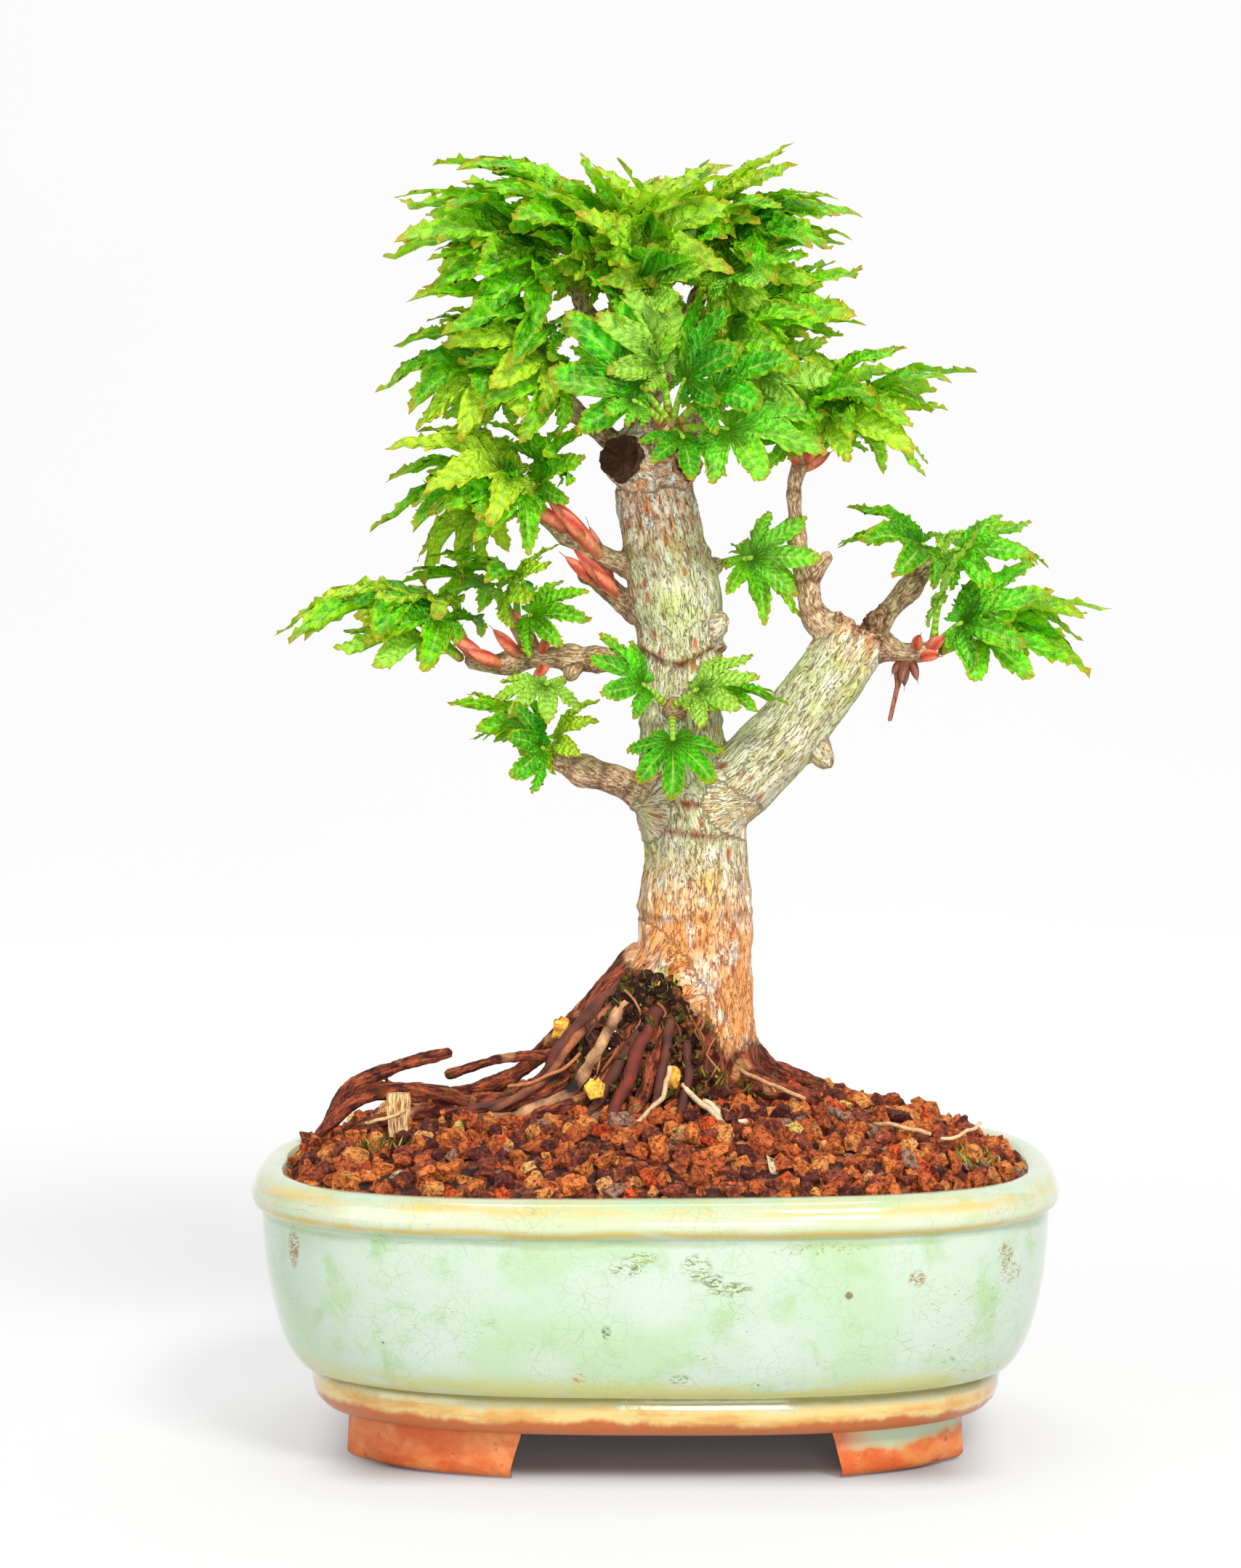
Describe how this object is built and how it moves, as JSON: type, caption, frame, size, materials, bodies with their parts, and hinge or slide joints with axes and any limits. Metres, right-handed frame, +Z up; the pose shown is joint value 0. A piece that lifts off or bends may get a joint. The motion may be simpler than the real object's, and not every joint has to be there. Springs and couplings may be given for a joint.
{
  "type": "potted bonsai tree",
  "caption": "Small maple bonsai with a stub-cut trunk, one stout side limb, exposed roots and crinkled palm-shaped leaves, in a footed oval celadon-glazed pot of granular soil.",
  "frame": {"origin": "on the ground under the middle of the whole object's box", "axes": "+Z up the tree; +X along the pot's length, to the side of the stout limb; +Y across the pot, to the back"},
  "size_m": [0.1604, 0.1128, 0.2417],
  "materials": {
    "glaze": "glossy pale celadon glaze with ochre pooling, over orange stoneware that is bare at the feet",
    "soil": "matt, granular: mixed red-brown baked-clay and lava grains",
    "bark": "rough, tan and pale grey-green bark with rust marks; dark roots and cut ends",
    "leaf": "satin bright green, crinkled, orange at the tips",
    "young_leaf": "satin yellow-green, crinkled, orange-red at the tips",
    "screen": "matt dark green plastic mesh",
    "clip": "brown anodised wire",
    "pumice": "matt, porous, yellow",
    "dry_stem": "matt, fibrous, dry brown"
  },
  "bodies": {
    "root": {"claw_leaf_01": "young_leaf", "claw_leaf_02": "young_leaf", "claw_leaf_03": "young_leaf", "claw_leaf_04": "young_leaf", "claw_leaf_05": "young_leaf", "claw_leaf_06": "young_leaf", "claw_leaf_07": "young_leaf", "claw_leaf_08": "young_leaf", "claw_leaf_09": "young_leaf", "claw_leaf_10": "young_leaf", "claw_leaf_11": "young_leaf", "claw_leaf_12": "young_leaf", "claw_leaf_13": "young_leaf", "claw_leaf_14": "young_leaf", "claw_leaf_15": "young_leaf", "claw_leaf_16": "young_leaf", "claw_leaf_17": "young_leaf", "claw_leaf_18": "young_leaf", "claw_leaf_19": "young_leaf", "claw_leaf_20": "young_leaf", "claw_leaf_21": "young_leaf", "claw_leaf_22": "young_leaf", "claw_leaf_23": "young_leaf", "claw_leaf_24": "young_leaf", "claw_leaf_25": "young_leaf", "claw_leaf_26": "young_leaf", "claw_leaf_27": "young_leaf", "claw_leaf_28": "young_leaf", "claw_leaf_29": "young_leaf", "claw_leaf_30": "young_leaf", "claw_leaf_31": "young_leaf", "dead_stalk": "dry_stem", "drain_screen_left": "screen", "drain_screen_right": "screen", "dry_stalk": "dry_stem", "open_leaf_01": "leaf", "open_leaf_02": "leaf", "open_leaf_03": "leaf", "open_leaf_04": "leaf", "open_leaf_05": "leaf", "open_leaf_06": "leaf", "open_leaf_07": "leaf", "open_leaf_08": "leaf", "open_leaf_09": "leaf", "open_leaf_10": "leaf", "open_leaf_11": "leaf", "open_leaf_12": "leaf", "open_leaf_13": "leaf", "open_leaf_14": "leaf", "open_leaf_15": "leaf", "open_leaf_16": "leaf", "open_leaf_17": "leaf", "pot": "glaze", "pumice_1": "pumice", "pumice_2": "pumice", "pumice_3": "pumice", "screen_clip_left": "clip", "screen_clip_right": "clip", "soil": "soil", "tree": "bark"}
  },
  "joints": []
}
